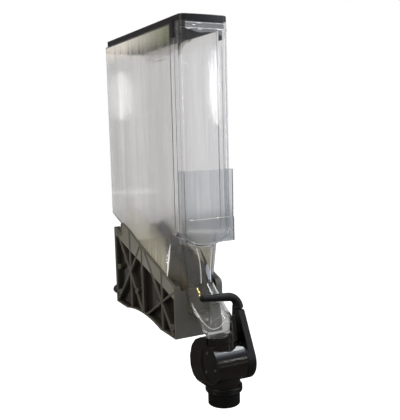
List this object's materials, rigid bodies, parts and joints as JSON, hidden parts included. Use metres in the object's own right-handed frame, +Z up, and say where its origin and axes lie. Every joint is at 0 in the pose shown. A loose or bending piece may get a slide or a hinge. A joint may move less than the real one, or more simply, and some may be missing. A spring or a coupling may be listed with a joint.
{
  "type": "gravity bulk food bin",
  "caption": "Clear gravity bin for bulk food: tall hopper in a ribbed cradle, hinged lid, and a sprung lever that turns a drum valve over a round outlet tube.",
  "frame": {"origin": "underside of the cradle's front foot, on the bin's middle plane, 10 mm behind the cradle's front face", "axes": "+Z up, the bin's front with the outlet faces -Y, +X is the lever's side"},
  "size_m": [0.117, 0.5398, 0.78],
  "materials": {
    "clear_plastic": "clear moulded plastic, slightly hazed inside",
    "label_plastic": "clear sheet plastic with a cool tint",
    "lid_plastic": "black moulded plastic, soft sheen",
    "cradle_plastic": "dark olive grey moulded plastic",
    "valve_plastic": "polished black plastic",
    "spout_plastic": "black plastic, satin",
    "lever_plastic": "black plastic with a fine texture",
    "gate_plastic": "dark grey plastic",
    "bush_plastic": "natural acetal",
    "rubber": "black rubber",
    "steel": "zinc plated"
  },
  "bodies": {
    "bin": {"hopper_body": "clear_plastic", "hopper_front": "clear_plastic", "hopper_spout": "clear_plastic", "label_holder": "label_plastic", "lid_hinge_rail": "lid_plastic", "lid_hinge_pin": "steel", "cradle_left": "cradle_plastic", "cradle_right": "cradle_plastic", "cradle_screws": "steel", "rear_bumpers": "rubber", "valve_housing": "valve_plastic", "inlet_seal": "rubber", "side_cover": "valve_plastic", "cover_screws": "steel", "bushing_left": "bush_plastic", "bushing_right": "bush_plastic", "stop_pin": "steel", "outlet_tube": "spout_plastic", "bag_ring": "spout_plastic", "return_spring": "steel"},
    "lid": {"lid": "lid_plastic"},
    "lever": {"lever_arm": "lever_plastic", "lever_grip": "lever_plastic", "gate_rotor": "gate_plastic", "hub_washer": "steel", "hub_screw": "steel"}
  },
  "joints": [
    {"name": "lid_hinge", "type": "hinge", "parent": "bin", "child": "lid", "pos_m": [0, 0.366, 0.6485], "axis": [-1, 0, 0], "range_deg": [0, 92]},
    {"name": "lever_pull", "type": "hinge", "parent": "bin", "child": "lever", "pos_m": [0, -0.115, -0.027], "axis": [1, 0, 0], "range_deg": [0, 75], "stiffness_Nm_per_rad": 0.6, "springref_deg": -22.92}
  ]
}
